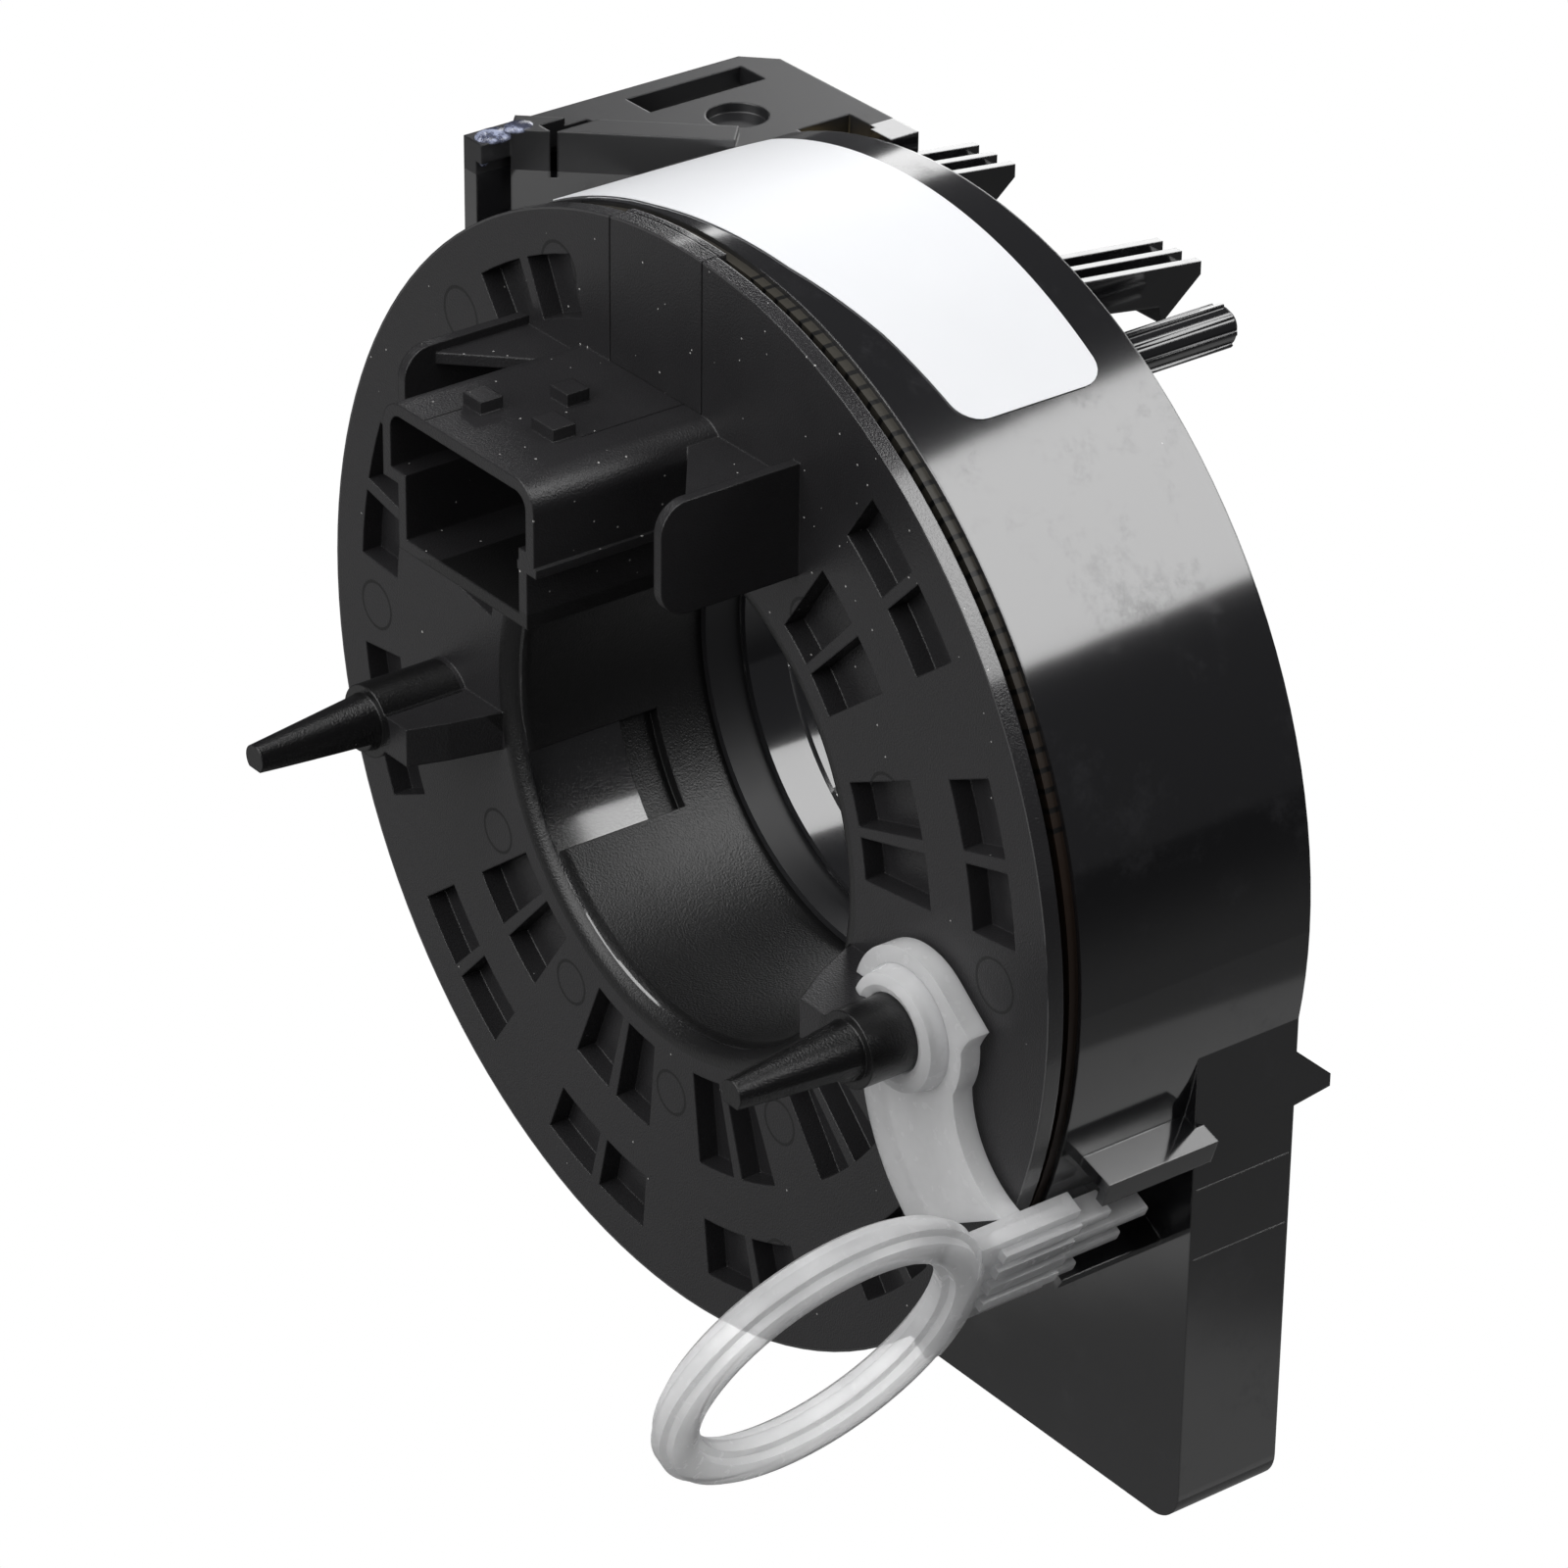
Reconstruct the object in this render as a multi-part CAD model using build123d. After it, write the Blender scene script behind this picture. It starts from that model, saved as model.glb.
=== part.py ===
from build123d import *
import os
from math import asin, atan2, cos, degrees, pi, radians, sin, sqrt

# Steering clock spring: the rotary contact unit between a steering wheel and its column.
# A rotor turns in a fixed housing, and two flat cables wound between them carry the current.
# Millimetres. The steering axis is Y, the wheel side faces -Y, and +Z is up. The origin is on
# the axis, in the plane of the rotor's face. Angles are seen from the wheel side, from +X to +Z.

# Rotor
face_radius = 50.0
rim_thickness = 1.5
plate_radius = face_radius - 3.0
plate_thickness = 3.1
bore_radius = 23.05
bore_rounding = 2.0
tube_wall = 1.8
pocket_depth = 2.0
bore_step_depth = 0.6
bore_step_angles = (-163.0, -140.5)
bore_step_ends = (1.0, 11.0)
bore_window_depth = 1.2
bore_window_back = 14.7
pocket_rib = 1.2
pocket_pair_sweep = 18.0
pocket_pitch = 30.0
outer_pockets = (plate_radius - 6.4, plate_radius - 1.0)
inner_pockets = (bore_radius + 3.6, plate_radius - 11.8)

# Wheel connector shroud on the rotor
shroud_depth = 18.7
shroud_wall = 1.1
shroud_corner = 2.5
shroud_left = -14.4
shroud_right = 6.8
shroud_top = 36.2
shroud_waist = 29.0
shroud_bottom = 23.15
shroud_waist_inset = (2.1, 1.0)
shroud_key_height = 1.1
shroud_keys = ((-7.8, -13.3, 2.5), (-4.8, -6.8, 2.4), (-0.5, -11.5, 3.0))
shroud_ledge = 28.6
latch_channel = (-8.7, 4.0)
latch_channel_depth = 1.7
latch_channel_back = 2.4

# Guard wings beside the shroud
wing_thickness = 1.0
wing_height = 10.0
wing_corner = 2.6
right_wing = (16.6, 37.1, 13.7)
left_wing = (-20.6, 36.0, 12.6)
web_thickness = 1.0

# Drive pins
pin_places = ((face_radius - 14.7, -5.4), (17.0 - face_radius, -5.4))
pin_sleeve_radius = 3.35
pin_sleeve_length = 8.6
pin_tip_radius = 1.3
pin_tip_root_radius = 2.6
pin_reach = 20.2
pin_flat = 1.0
gusset_thickness = 3.6
gusset_top = 6.2
gusset_knee = 5.0

# Sleeve that holds the rotor from behind
sleeve_bore_radius = 21.6
sleeve_counterbore = 0.7
sleeve_counterbore_back = 24.0
sleeve_spigot = 7.5
sleeve_mouth_chamfer = 1.4
sleeve_flange_radius = 28.5
sleeve_flange = 1.8
cancel_lug_height = 3.4
cancel_lug_sweep = 26.0

# Housing
wall_radius = face_radius - 0.25
wall_thickness = 1.55
housing_front = 3.55
housing_back = 27.5
cover_thickness = 1.8
foot_front = 16.8
foot_left = 8.0
foot_right = wall_radius - 0.75
foot_bottom = -wall_radius - 5.1
foot_corner = 3.2
foot_wall = 1.8

# Corner bracket at the upper left of the housing
bracket_top = wall_radius - 4.25
bracket_left = 13.75 - wall_radius
bracket_front = 4.6
bracket_back = 36.3
bracket_right = bracket_left + 19.0
bracket_plate = 1.8
bracket_chamfer = 2.6
brace_width = 3.0
brace_rise = 0.7
brace_from = (bracket_left + 2.6, 7.6)
brace_to = (bracket_left + 15.6, 21.6)
window_near = (bracket_left + 3.6, 26.4, 3.5, 12.3)
window_far = (bracket_right - 1.6, 31.0, 3.6, 5.6)
bracket_slot = (bracket_left + 4.3, 12.6, 2.0, 5.0)
dimple_place = (bracket_left + 10.2, 25.9)
dimple_radius = 2.7
tab_right = bracket_right + 3.0

# Lock lug and ledge for the locking key, and the snap hook behind the foot
lug_angle = -17.3
ledge_angle = -31.5
lug_reach = 3.55
lug_front = 6.2
lug_thickness = 1.2
lug_lip = 1.3
side_hook_place = (-11.8, -17.0)
side_hook_reach = 3.9

# Rear cover with its snap hooks, locating pin and harness socket
cover_fit = 0.1
hook_places = (-10.75, 13.6)
hook_pitch = 2.45
hook_rib = 0.8
hook_reach = 14.5
hook_height = 3.0
hook_barb = 1.6
hook_barb_length = 4.4
hook_top = wall_radius - 6.55
hook_fall = 1.9
locating_pin_place = (22.3, wall_radius - 9.45)
locating_pin_radius = 1.72
locating_pin_length = 12.5
socket_place = (foot_right - 22.5, foot_bottom + 6.6)
socket_size = (15.0, 7.6)
socket_depth = 9.0
socket_block_margins = (2.0, 2.4)

# Flat cables, their cage and rollers
cable_thickness = 0.25
cable_pitch = 1.0
cable_turns = 1
cable_width = (4.3, 23.9)
inner_contact = bore_radius + 6.55
outer_contact = wall_radius - 5.35
roller_count = 4
roller_fit = 0.125
axle_radius = 1.9
cage_floor = 1.2
cage_phase = 70.0
clamp_sweep = 16.0

# Clearances
running_fit = 0.05
seat_gap = 0.3

# Locking key with its pull ring
key_plate = (0.5, 2.5)
key_eye_radius = 6.95
key_peak = (face_radius - 6.7, -2.75)
key_arm_bend = (face_radius - 8.65, -8.5)
key_arm_right = (face_radius - 2.1, -17.3)
key_arm_left = (face_radius - 13.6, -23.9)
key_arm_left_bend = (face_radius - 18.6, -17.9)
key_arm_left_top = (face_radius - 20.4, -12.6)
key_angle = -24.9
key_radius = face_radius + 0.7
key_block = (2.0, 4.6, 6.2)
key_plug_back = 4.3
key_block_front = 6.0
key_flute = 0.8
ring_radius = 13.4
ring_section = 1.9
ring_bevel = 0.9
ring_drop = 3.0

# Terminals, and the small parts that are laid on
terminal_size = 0.64
terminal_pitch = 2.2
front_terminals = 6
front_terminal_rows = (26.2, 32.4)
front_terminal_reach = 11.0
terminal_setback = 5.2
rear_terminal_rows = (-1.5, 1.5)
label_sweep = (57.0, 112.0)
label_width = (7.3, 23.8)
label_thickness = 0.12

# Worked out from the sizes above
bore_edge = bore_radius + bore_rounding
tube_radius = bore_radius + tube_wall
tube_back = housing_back + 0.2
cavity_radius = wall_radius - wall_thickness
cover_front = housing_back - cover_thickness
roller_path = (inner_contact + outer_contact) / 2
bend_radius = (outer_contact - inner_contact) / 2 + cable_thickness / 2
roller_radius = bend_radius - cable_thickness / 2 - roller_fit
key_fit = running_fit + 0.1
foot_centre = ((foot_left + foot_right) / 2, foot_bottom / 2)


def at_depth(y):
    # Drawing plane that the wheel side looks at: sketch x is X, and sketch y is Z.
    return Plane(origin=(0, y, 0), x_dir=(1, 0, 0), z_dir=(0, -1, 0))


def slab(outline, front, back):
    # Solid between two depths along the steering axis.
    return extrude(at_depth(back) * outline, amount=back - front)


def ring(inner, outer):
    return Circle(outer) - Circle(inner)


def sector(inner, outer, start, sweep):
    rim = CenterArc((0, 0), outer, start, sweep)
    root = CenterArc((0, 0), inner, start, sweep)
    return make_face([rim, root, Line(root @ 0, rim @ 0), Line(root @ 1, rim @ 1)])


def box_outline(left, right, bottom, top):
    return Pos((left + right) / 2, (bottom + top) / 2) * Rectangle(right - left, top - bottom)


def side_profile(points, left, right):
    # Outline in (Y, Z), as seen from the right, made solid between two X places.
    face = make_face(Polyline(*[(0, y, z) for y, z in points], close=True))
    return Pos(left, 0, 0) * extrude(face, amount=right - left, dir=(1, 0, 0))


def plan_profile(points, bottom, top):
    # Outline in (X, Y), as seen from above, made solid between two heights.
    face = make_face(Polyline(*[(x, y) for x, y in points], close=True))
    return Pos(0, 0, bottom) * extrude(face, amount=top - bottom, dir=(0, 0, 1))


def pocket_outlines(radii, centres):
    # Weight-saving pockets come in pairs that share a thin radial rib.
    inner, outer = radii
    rib_sweep = degrees(pocket_rib / outer)
    sweep = (pocket_pair_sweep - rib_sweep) / 2
    return [
        sector(inner, outer, centre + side, sweep)
        for centre in centres
        for side in (-pocket_pair_sweep / 2, rib_sweep / 2)
    ]


def shroud_outline(shrink):
    upper = box_outline(shroud_left, shroud_right, shroud_waist, shroud_top)
    upper = fillet(upper.vertices().group_by(Axis.Y)[-1], shroud_corner)
    step_left, step_right = shroud_waist_inset
    lower = box_outline(shroud_left + step_left, shroud_right - step_right, shroud_bottom,
                        shroud_waist + shroud_corner)
    outline = upper + lower
    return offset(outline, -shrink, kind=Kind.INTERSECTION) if shrink else outline


def wing(place, top, reach):
    bottom = top - wing_height
    points = [(0, bottom), (-reach, bottom), (-reach, top), (0, top)]
    plate = side_profile(points, place - wing_thickness / 2, place + wing_thickness / 2)
    front_corners = plate.edges().filter_by(Axis.X).group_by(Axis.Y)[0]
    return fillet(front_corners, wing_corner)


def drive_pin(x, z):
    # Sleeve with a tapered tip, one flat on the tip, and a gusset towards the bore.
    sleeve = slab(Pos(x, z) * Circle(pin_sleeve_radius), -pin_sleeve_length, 0)
    root = at_depth(-pin_sleeve_length) * Pos(x, z) * Circle(pin_tip_root_radius)
    end = at_depth(-pin_reach) * Pos(x, z) * Circle(pin_tip_radius)
    tip = loft([root, end])
    side = 1 if x > 0 else -1
    flat = box_outline(x - pin_sleeve_radius, x + pin_sleeve_radius,
                       z - pin_sleeve_radius - pin_flat, z - pin_flat)
    tip -= slab(flat, -pin_reach, -pin_sleeve_length - pin_flat)
    foot = sqrt(bore_edge ** 2 - z ** 2) + running_fit
    top = abs(x) - gusset_top
    knee = (top + foot) / 2
    outline = [(x, 0), (side * foot, 0), (side * knee, -gusset_knee),
               (side * top, -pin_sleeve_length), (x, -pin_sleeve_length)]
    gusset = plan_profile(outline, z - gusset_thickness / 2, z + gusset_thickness / 2)
    return sleeve + tip + gusset


def rotor_face():
    body = slab(Circle(face_radius), 0, rim_thickness)
    body += slab(Circle(plate_radius), 0, plate_thickness)
    body += slab(Circle(tube_radius), 0, tube_back)
    channel_left, channel_right = latch_channel
    channel = box_outline(channel_left, channel_right, shroud_top, face_radius)
    body += slab(channel & Circle(face_radius), rim_thickness, latch_channel_back)
    body -= slab(Circle(bore_radius), 0, tube_back)
    start, stop = bore_step_angles
    step = sector(bore_radius - 1, bore_radius + bore_step_depth, start, stop - start)
    window = sector(bore_radius - 1, bore_radius + bore_window_depth, start, stop - start)
    step_front, step_back = bore_step_ends
    mouth = body.edges().filter_by(GeomType.CIRCLE).group_by(Axis.Y)[0].sort_by(SortBy.RADIUS)[0]
    body = fillet(mouth, bore_rounding)
    body -= slab(step, step_front, step_back)
    body -= slab(window, step_back, bore_window_back)
    outer = pocket_outlines(outer_pockets, (-164, -134, -104, -74, -44, 16, 46, 117, 167))
    inner = pocket_outlines(inner_pockets, (-134, -104, -74, -44, 16, 46, 136, 160))
    body -= slab(Sketch() + outer + inner, 0, pocket_depth)
    body -= slab(channel, 0, latch_channel_depth)
    body += slab(shroud_outline(0), -shroud_depth, shroud_wall)
    body -= slab(shroud_outline(shroud_wall), -shroud_depth, -shroud_wall)
    body -= slab(Circle(bore_radius), -shroud_depth, tube_back)
    body += wing(*right_wing) + wing(*left_wing)
    for x, y, length in shroud_keys:
        body += Pos(x, y, shroud_top) * Box(length, 2.2, 2 * shroud_key_height)
    ledge_place = Pos(shroud_right - shroud_waist_inset[1], -shroud_depth / 2, shroud_ledge)
    body += ledge_place * Box(2.6, shroud_depth, 0.8)
    wing_place, wing_top, wing_reach = right_wing
    web = [(shroud_right - shroud_wall, 0), (wing_place, 0), (wing_place, wing_corner - wing_reach),
           (shroud_right - shroud_wall, -wing_corner)]
    body += plan_profile(web, shroud_top - 2 * web_thickness, shroud_top - web_thickness)
    wing_place, wing_top, wing_reach = left_wing
    web = [(shroud_left + shroud_wall, 0), (wing_place, 0), (wing_place, wing_corner - wing_reach),
           (shroud_left + shroud_wall, -wing_corner)]
    body += plan_profile(web, shroud_top - 2 * web_thickness, shroud_top - web_thickness)
    for x, z in pin_places:
        body += drive_pin(x, z)
    body -= slab(front_block_outline(key_fit), -shroud_wall, plate_thickness)
    return body


def front_block_outline(margin):
    # The terminal block stands in a slot through the shroud's floor.
    low, high = front_terminal_rows
    half = front_terminals * terminal_pitch / 2
    middle = (shroud_left + shroud_right) / 2
    return box_outline(middle - half - margin, middle + half + margin,
                       (low + high) / 2 - 1.2 - margin, (low + high) / 2 + 1.2 + margin)


def rotor_sleeve():
    spigot_front = tube_back - sleeve_spigot
    flange_front = tube_back + running_fit
    flange_back = flange_front + sleeve_flange
    body = slab(Circle(bore_radius - running_fit), spigot_front, flange_front)
    body += slab(Circle(sleeve_flange_radius), flange_front, flange_back)
    lugs = [sector(tube_radius, sleeve_flange_radius, start, cancel_lug_sweep) for start in (20, 200)]
    body += slab(Sketch() + lugs, flange_front, flange_back + cancel_lug_height)
    body -= slab(Circle(sleeve_bore_radius + sleeve_counterbore), spigot_front, sleeve_counterbore_back)
    body -= slab(Circle(sleeve_bore_radius), spigot_front, flange_back)
    circles = body.edges().filter_by(GeomType.CIRCLE)
    mouth = [edge for edge in circles if abs(edge.radius - sleeve_bore_radius) < running_fit
             and edge.center().Y > flange_front]
    return chamfer(mouth, sleeve_mouth_chamfer)


def front_terminal_block():
    block = slab(front_block_outline(0), -shroud_wall - 0.6, plate_thickness)
    return block - slab(Sketch() + front_terminal_outlines(running_fit), -shroud_depth, plate_thickness)


def front_terminal_outlines(margin):
    low, high = front_terminal_rows
    middle = (shroud_left + shroud_right) / 2
    size = terminal_size + 2 * margin
    return [Pos(middle + (i - (front_terminals - 1) / 2) * terminal_pitch, (low + high) / 2)
            * Rectangle(size, size) for i in range(front_terminals)]


def front_terminal_pins():
    return slab(Sketch() + front_terminal_outlines(0), -front_terminal_reach, plate_thickness - 0.2)


def cable_edge(side):
    # One edge of a flat cable: half turns round the hub, a bend back, half turns along the wall.
    half = side * cable_thickness / 2
    step = cable_pitch / 2
    shift = step / 2
    inner_start = inner_contact - cable_thickness / 2 - cable_turns * cable_pitch
    edges = []
    for k in range(2 * cable_turns):
        centre = (shift if k % 2 else -shift, 0)
        edges.append(CenterArc(centre, inner_start + shift + k * step + half, 180 * (k % 2), 180))
    inner_end = inner_start + 2 * cable_turns * step
    outer_start = outer_contact + cable_thickness / 2
    middle = (inner_end + outer_start) / 2
    edges.append(CenterArc((middle, 0), (outer_start - inner_end) / 2 - half, 180, -180))
    for k in range(2 * cable_turns):
        centre = (shift if k % 2 else -shift, 0)
        edges.append(CenterArc(centre, outer_start + shift + k * step - half, -180 * (k % 2), -180))
    return edges


def flat_cable(turn):
    near, far = cable_edge(1), cable_edge(-1)
    ends = [Line(near[0] @ 0, far[0] @ 0), Line(near[-1] @ 1, far[-1] @ 1)]
    outline = Rot(0, 0, cage_phase + turn) * make_face(near + far + ends)
    return slab(outline, *cable_width)


def roller_centres():
    return [cage_phase + 360 * i / roller_count for i in range(roller_count)]


def polar(radius, angle):
    return radius * cos(radians(angle)), radius * sin(radians(angle))


def roller_cage():
    back = cover_front - seat_gap
    front = back - cage_floor
    floor = ring(tube_radius + seat_gap, cavity_radius - seat_gap)
    spacing = 360 / roller_count
    relief = [sector(inner_contact + 2, outer_contact - 2, angle + spacing / 4, spacing / 2)
              for angle in roller_centres()]
    body = slab(floor - relief, front, back)
    for angle in roller_centres():
        x, z = polar(roller_path, angle)
        body += slab(Pos(x, z) * Circle(2 * axle_radius), front - seat_gap / 2, front)
        body += slab(Pos(x, z) * Circle(axle_radius), cable_width[0] + 0.4, front)
    return body


def roller(angle):
    x, z = polar(roller_path, angle)
    back = cover_front - seat_gap - cage_floor - seat_gap / 2 - running_fit
    front = cable_width[0] + 0.5
    return slab(Pos(x, z) * ring(axle_radius + running_fit, roller_radius), front, back)


def inner_cable_clamp():
    inner_layer = inner_contact - cable_turns * cable_pitch - cable_thickness
    outline = sector(tube_radius, inner_layer - 2 * seat_gap, cage_phase - clamp_sweep / 2, clamp_sweep)
    return slab(outline, plate_thickness, cable_width[1] - cage_floor)


def outer_cable_clamp():
    outer_layer = outer_contact + cable_turns * cable_pitch + 2 * cable_thickness
    outline = sector(outer_layer + seat_gap, cavity_radius, cage_phase - clamp_sweep / 2, clamp_sweep)
    return slab(outline, housing_front + 2, cable_width[1])


def foot_outline(shrink):
    outline = box_outline(foot_left + shrink, foot_right - shrink, foot_bottom + shrink, 0)
    corner = outline.vertices().group_by(Axis.Y)[0].sort_by(Axis.X)[-1]
    return fillet(corner, foot_corner - shrink / 2)


def lock_rib(angle, lip):
    # Radial rib on the wall; the upper one has a lip that keeps the key's plug from lifting.
    inner = wall_radius - wall_thickness / 2
    outer = wall_radius + lug_reach
    sweep = degrees(lug_thickness / outer)
    body = slab(sector(inner, outer, angle - sweep, sweep), lug_front, foot_front + foot_wall / 2)
    if lip:
        lip_sweep = degrees((lug_thickness + lug_lip) / outer)
        outline = sector(outer - lug_thickness * 0.75, outer, angle - lip_sweep, lip_sweep)
        body += slab(outline, lug_front, foot_front + foot_wall / 2)
    return body


def corner_bracket():
    # Flat deck beside the round wall, carried by a side wall and by a brace along its front edge.
    bottom = bracket_top - bracket_plate
    deck = [(bracket_left, bracket_front), (bracket_left, bracket_back - bracket_chamfer),
            (bracket_left + bracket_chamfer, bracket_back), (bracket_right, bracket_back),
            (bracket_right, housing_back - wall_thickness), brace_to, brace_from,
            (brace_from[0], bracket_front)]
    body = plan_profile(deck, bottom, bracket_top)
    wall_foot = sqrt(wall_radius ** 2 - bracket_left ** 2)
    side = [(bracket_front, wall_foot), (bracket_front, bracket_top),
            (bracket_back - bracket_chamfer, bracket_top),
            (bracket_back - bracket_chamfer, bottom - bracket_plate),
            (housing_back, wall_foot)]
    body += side_profile(side, bracket_left, bracket_left + bracket_plate)
    angle = atan2(brace_to[1] - brace_from[1], brace_to[0] - brace_from[0])
    across = (-brace_width * sin(angle), brace_width * cos(angle))
    strip = [brace_from, brace_to, (brace_to[0] + across[0], brace_to[1] + across[1]),
             (brace_from[0] + across[0], brace_from[1] + across[1])]
    body += plan_profile(strip, bottom, bracket_top + brace_rise)
    across = (across[0] / 2, across[1] / 2)
    strip = [brace_from, brace_to, (brace_to[0] + across[0], brace_to[1] + across[1]),
             (brace_from[0] + across[0], brace_from[1] + across[1])]
    body += plan_profile(strip, wall_foot, bracket_top)
    tab = [(bracket_right, bracket_back - 3), (bracket_right, bracket_back), (tab_right, bracket_back),
           (tab_right, bracket_back - 3)]
    body += plan_profile(tab, bottom - 1.2, bracket_top)
    for x, y, width, length in (window_near, window_far, bracket_slot):
        body -= Pos(x, y, bracket_top) * Box(width, length, 4 * bracket_plate)
    return body - Pos(*dimple_place, bracket_top) * Cylinder(dimple_radius, bracket_plate)


def housing():
    body = slab(Circle(wall_radius), housing_front, housing_back)
    body += slab(foot_outline(0), foot_front, housing_back)
    body += corner_bracket()
    body += lock_rib(lug_angle, True) + lock_rib(ledge_angle, False)
    body -= slab(foot_outline(foot_wall) - Circle(wall_radius), foot_front + foot_wall, cover_front)
    body -= slab(Circle(cavity_radius), housing_front, housing_back)
    body -= slab(foot_outline(foot_wall), cover_front, housing_back)
    outlet = box_outline(28, 34, -44, -30)
    body -= slab(outlet, foot_front + foot_wall, cover_front)
    high, low = side_hook_place
    barb = [(housing_back - 0.5, high), (housing_back, high), (housing_back + side_hook_reach, high - 3.5),
            (housing_back + side_hook_reach, low + 0.5), (housing_back, low), (housing_back - 0.5, low)]
    body += side_profile(barb, foot_right - foot_wall, foot_right)
    return body


def snap_hook(place):
    # Cantilever hook of three ribs on one web, with a common barb below its end.
    tip = housing_back + hook_reach
    heel = tip - hook_barb_length
    low = hook_top - hook_height
    arm = [(cover_front, hook_top + hook_fall), (tip, hook_top), (tip, hook_top - 1.2),
           (heel + 0.3, low - hook_barb), (heel, low), (cover_front, low + hook_fall)]
    barb = [(heel, low + 1), (tip, low + 2), (tip, hook_top - 1.2), (heel + 0.3, low - hook_barb),
            (heel, low)]
    web = [(cover_front, low + hook_fall + 0.8), (heel, low + 0.8), (heel, low),
           (cover_front, low + hook_fall)]
    half = hook_pitch + hook_rib / 2
    body = side_profile(barb, place - half, place + half) + side_profile(web, place - half, place + half)
    for i in (-1, 0, 1):
        x = place + i * hook_pitch
        body += side_profile(arm, x - hook_rib / 2, x + hook_rib / 2)
    return body


def socket_outline(grow):
    width, height = socket_size
    return Pos(*socket_place) * RectangleRounded(width + 2 * grow, height + 2 * grow, 1.2)


def rear_cover():
    plate = Circle(cavity_radius - cover_fit) + foot_outline(foot_wall + cover_fit)
    plate -= Circle(tube_radius + running_fit)
    body = slab(plate, cover_front, housing_back)
    for place in hook_places:
        body += snap_hook(place)
    pin = slab(Pos(*locating_pin_place) * Circle(locating_pin_radius), cover_front,
               housing_back + locating_pin_length)
    body += chamfer(pin.edges().group_by(Axis.Y)[-1], 0.5)
    body += slab(socket_outline(shroud_wall), housing_back, housing_back + socket_depth)
    body -= slab(socket_outline(0), housing_back, housing_back + socket_depth)
    return body - slab(Sketch() + rear_terminal_outlines(running_fit + 0.05), cover_front, housing_back)


def rear_terminal_outlines(margin):
    x, z = socket_place
    size = terminal_size + 2 * margin
    return [Pos(x + (i - (front_terminals - 1) / 2) * terminal_pitch, z + row) * Rectangle(size, size)
            for row in rear_terminal_rows for i in range(front_terminals)]


def harness_terminal_block():
    width, height = socket_size
    side, rise = socket_block_margins
    block = slab(Pos(*socket_place) * Rectangle(width - side, height - rise), cover_front - 4.5, cover_front)
    return block - slab(Sketch() + rear_terminal_outlines(running_fit), cover_front - 5, cover_front)


def harness_terminal_pins():
    tips = housing_back + socket_depth - terminal_setback
    return slab(Sketch() + rear_terminal_outlines(0), cover_front - 4.5, tips)


def slide_ring():
    return slab(ring(cavity_radius - 0.8, wall_radius - 0.45), housing_front - 0.9, housing_front)


def brass_contact():
    x, y, width, length = window_far
    top = bracket_top - bracket_plate
    front = y - length / 2
    back = y + length / 2 + 0.6
    strip = [(front, top), (back, top), (back, top - 1.4), (back - 0.4, top - 1.4), (back - 0.4, top - 0.4),
             (front, top - 0.4)]
    return side_profile(strip, x - width / 2 - 0.4, x + 0.4)


def label():
    start, stop = label_sweep
    outline = sector(wall_radius, wall_radius + label_thickness, start, stop - start)
    return slab(outline, *label_width)


def glue_dab():
    blob = Pos(bracket_left + 1.6, bracket_front + 1.6, bracket_top + 0.45) * Cylinder(1.3, 0.9)
    return chamfer(blob.edges().group_by(Axis.Z)[-1], 0.6)


def key_frame():
    # Plug and ring lie in planes at right angles to this radius of the rotor.
    angle = radians(key_angle)
    outward = (cos(angle), 0, sin(angle))
    return Plane(origin=(key_radius * outward[0], 0, key_radius * outward[2]),
                 x_dir=(0, 1, 0), z_dir=outward)


def locking_key():
    # Eye that grips a drive pin, a curved arm past the rim, a fluted plug, and a pull ring.
    x, z = pin_places[0]
    rear, front = key_plate
    top = (x + key_eye_radius * 0.6, z + key_eye_radius * 0.8)
    right = ThreePointArc(key_peak, key_arm_bend, key_arm_right)
    left = ThreePointArc(key_arm_left, key_arm_left_bend, key_arm_left_top)
    outline = make_face([Line(top, key_peak), right, Line(key_arm_right, key_arm_left), left,
                         Line(key_arm_left_top, top)])
    outline += Pos(x, z) * Circle(key_eye_radius)
    outline -= Pos(x, z) * Circle(pin_sleeve_radius + key_fit)
    half_slot = gusset_thickness / 2 + key_fit
    outline -= box_outline(x - 2 * key_eye_radius, x, z - half_slot, z + half_slot)
    body = slab(outline, -front, -rear)
    thickness, above, below = key_block
    frame = key_frame()
    sign = 1 if frame.y_dir.Z > 0 else -1
    middle = (key_plug_back - key_block_front) / 2
    length = key_plug_back + key_block_front
    block = frame * Pos(middle, sign * (above - below) / 2, 0) * Rectangle(length, above + below)
    body += extrude(block, amount=thickness)
    for i in range(4):
        z_flute = sign * (above - 1.6 - i * 2.2)
        rib = frame * Pos(middle + 1.2, z_flute, thickness) * Rectangle(length - 2.4, 1.1)
        body += extrude(rib, amount=key_flute)
    centre = (-key_block_front - ring_radius + 0.2, -sign * ring_drop, thickness / 2)
    section = chamfer(Rectangle(2 * ring_section, 2 * ring_section).vertices(), ring_bevel)
    section = Plane.XZ * Pos(ring_radius, 0) * section
    return body + frame * Pos(*centre) * revolve(section, Axis.Z)


def export(name, shape):
    export_step(shape, f"parts/{name}.step")


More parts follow.
